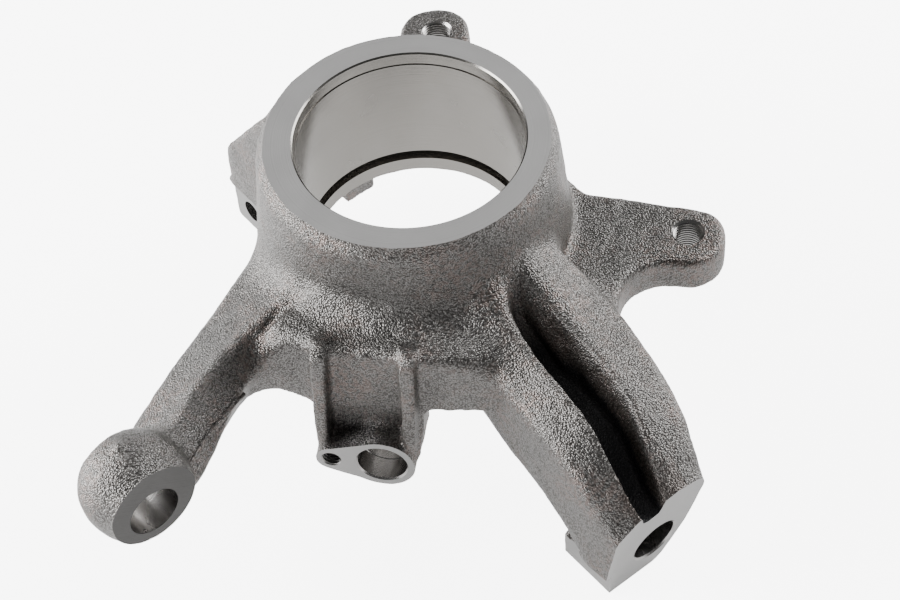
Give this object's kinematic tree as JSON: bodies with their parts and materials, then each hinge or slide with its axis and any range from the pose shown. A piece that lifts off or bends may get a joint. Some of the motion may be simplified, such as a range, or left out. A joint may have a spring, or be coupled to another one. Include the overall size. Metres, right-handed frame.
{
  "type": "steering knuckle",
  "caption": "Cast steering knuckle with a machined wheel bearing ring, a channelled ball joint arm, a steering arm with a tapered eye, caliper ears, a sensor boss and a clamp lug.",
  "frame": {"origin": "middle of the wheel bearing seat, on its axis", "axes": "+Z along the wheel bearing axis towards the machined hub face, -Y towards the sensor boss, +X towards the near caliper ear"},
  "size_m": [0.2392, 0.2482, 0.1072],
  "materials": {
    "casting": "shot-blasted casting with machined seats"
  },
  "bodies": {
    "root": {"knuckle": "casting"}
  },
  "joints": []
}
